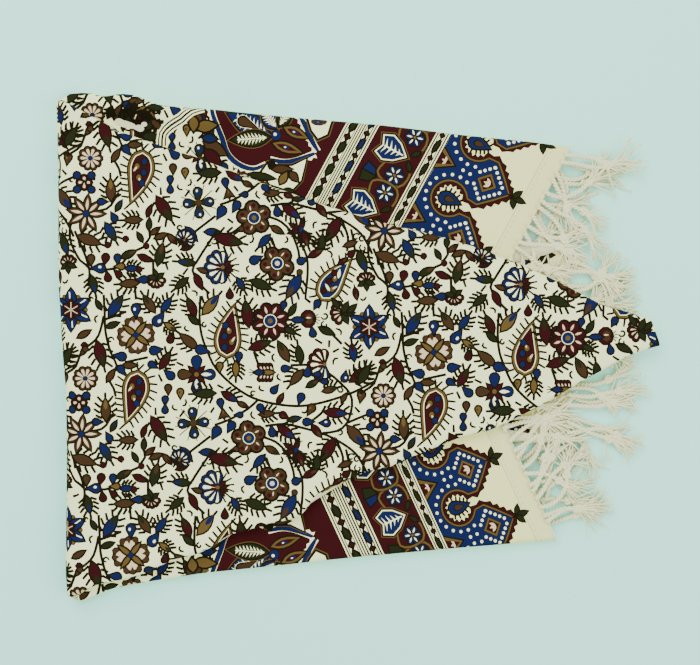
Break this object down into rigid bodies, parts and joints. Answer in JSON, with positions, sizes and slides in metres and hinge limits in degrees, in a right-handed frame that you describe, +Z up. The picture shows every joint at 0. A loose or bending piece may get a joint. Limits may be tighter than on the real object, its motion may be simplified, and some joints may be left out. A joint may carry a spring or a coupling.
{
  "type": "folded block-printed cotton cloth with knotted fringe",
  "caption": "Printed cotton tablecloth folded flat into a stack, its top flap narrowing to a point, with knotted cord fringe along its hems.",
  "frame": {"origin": "middle of the underside's bounding rectangle, on the surface that the cloth lies on", "axes": "+X from the rounded left fold towards the flap's tip and the fringe, +Y towards the upper folded edge, +Z up"},
  "size_m": [0.4216, 0.3576, 0.0233],
  "materials": {
    "printed_cotton": "matt plain-weave cotton, cream ground with blue, maroon, ochre, green and near-black block print",
    "fringe_yarn": "matt off-white twisted cotton yarn"
  },
  "bodies": {
    "root": {"cloth": "printed_cotton", "fringe_base_upper": "fringe_yarn", "fringe_base_centre": "fringe_yarn", "fringe_base_lower": "fringe_yarn", "fringe_centre": "fringe_yarn", "fringe_upper": "fringe_yarn", "fringe_lower": "fringe_yarn"}
  },
  "joints": []
}
